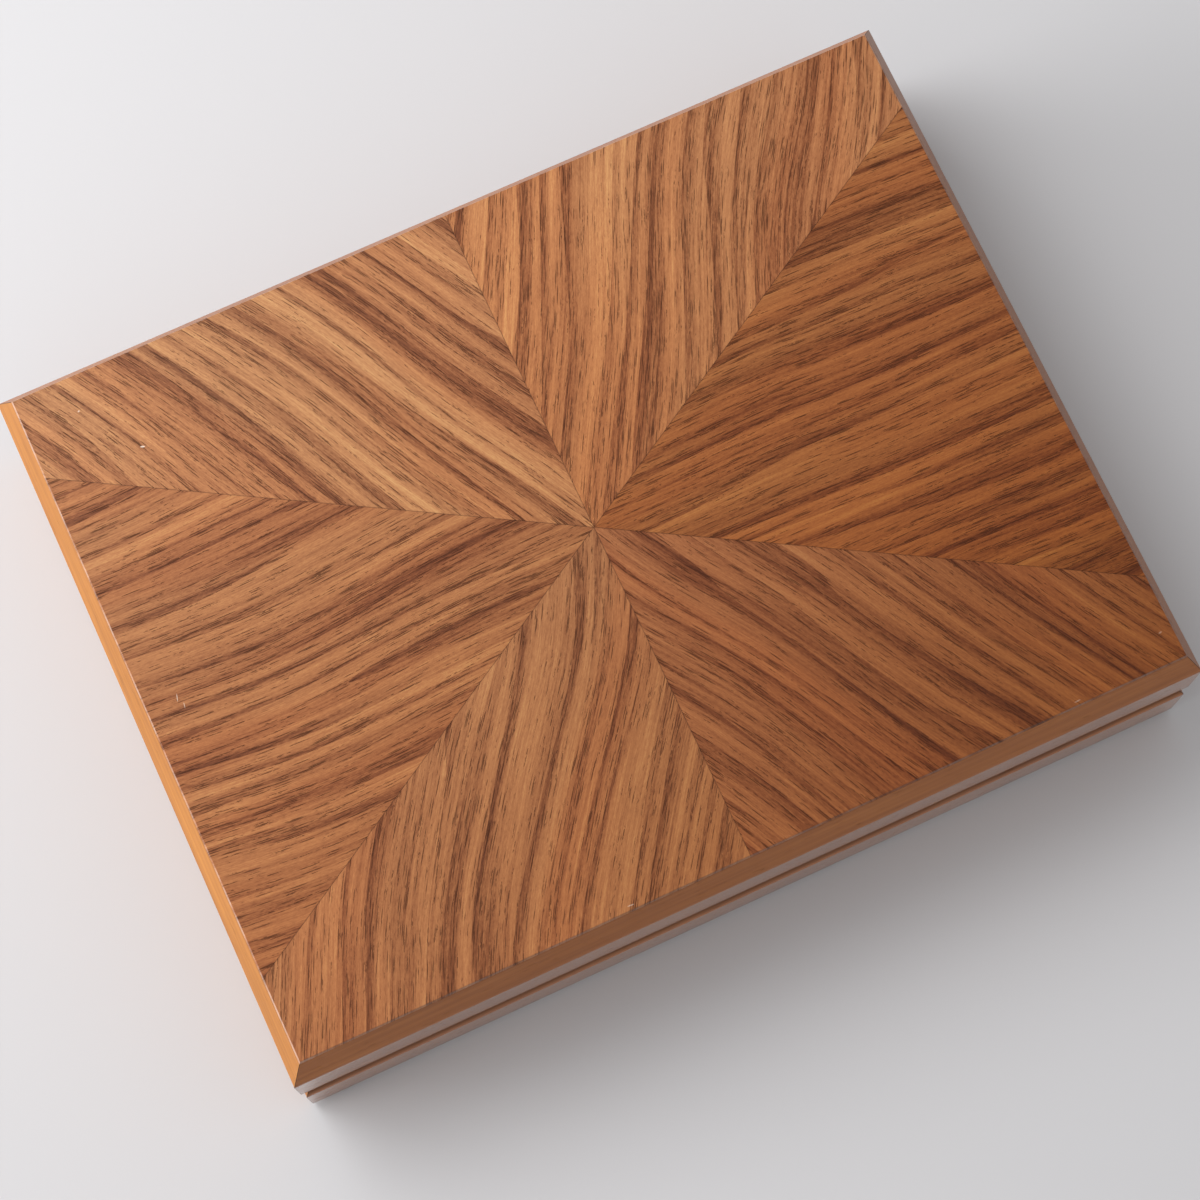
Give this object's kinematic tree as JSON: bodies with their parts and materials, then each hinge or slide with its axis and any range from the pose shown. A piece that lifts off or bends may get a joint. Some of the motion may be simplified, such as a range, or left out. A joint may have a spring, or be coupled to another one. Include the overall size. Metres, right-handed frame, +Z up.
{
  "type": "playing card case",
  "caption": "Flat hinged walnut case for two decks of playing cards, with a bevelled lid veneered in a radial match and a divided tray inside.",
  "frame": {"origin": "bottom centre of the closed case, on the surface that it stands on", "axes": "+X along the long side to the right, +Y to the hinged back, +Z up"},
  "size_m": [0.168, 0.1305, 0.0349],
  "materials": {
    "walnut_moulding": "satin clear-varnished solid walnut, fine straight grain",
    "walnut_veneer": "satin-varnished straight-grained walnut veneer with dark streaks and short open pores",
    "tray_wood": "satin-varnished solid walnut",
    "panel_wood": "plain light plywood",
    "lining_felt": "matt dark green felt",
    "foot_felt": "matt dark green felt",
    "brass": "polished solid brass",
    "pin_steel": "bright drawn steel wire"
  },
  "bodies": {
    "base": {"base_front_rail": "walnut_moulding", "base_right_rail": "walnut_moulding", "base_back_rail": "walnut_moulding", "base_left_rail": "walnut_moulding", "base_floor": "panel_wood", "well_lining": "lining_felt", "foot_felt": "foot_felt", "tray_left_strip": "tray_wood", "tray_right_strip": "tray_wood", "tray_front_strip": "tray_wood", "tray_back_strip": "tray_wood", "tray_divider": "tray_wood", "hinge_left_base_leaf": "brass", "hinge_right_base_leaf": "brass", "hinge_left_pin": "pin_steel", "hinge_right_pin": "pin_steel", "hinge_left_base_screw_1": "brass", "hinge_left_base_screw_2": "brass", "hinge_right_base_screw_1": "brass", "hinge_right_base_screw_2": "brass"},
    "lid": {"lid_front_rail": "walnut_moulding", "lid_right_rail": "walnut_moulding", "lid_back_rail": "walnut_moulding", "lid_left_rail": "walnut_moulding", "lid_panel": "panel_wood", "lid_lining": "lining_felt", "veneer_right_leaf": "walnut_veneer", "veneer_back_right_leaf": "walnut_veneer", "veneer_back_left_leaf": "walnut_veneer", "veneer_left_leaf": "walnut_veneer", "veneer_front_left_leaf": "walnut_veneer", "veneer_front_right_leaf": "walnut_veneer", "hinge_left_lid_leaf": "brass", "hinge_right_lid_leaf": "brass", "hinge_left_lid_screw_1": "brass", "hinge_left_lid_screw_2": "brass", "hinge_right_lid_screw_1": "brass", "hinge_right_lid_screw_2": "brass"}
  },
  "joints": [
    {"name": "lid_hinge", "type": "hinge", "parent": "base", "child": "lid", "pos_m": [0, 0.06375, 0.01475], "axis": [-1, 0, 0], "range_deg": [0, 100]}
  ]
}
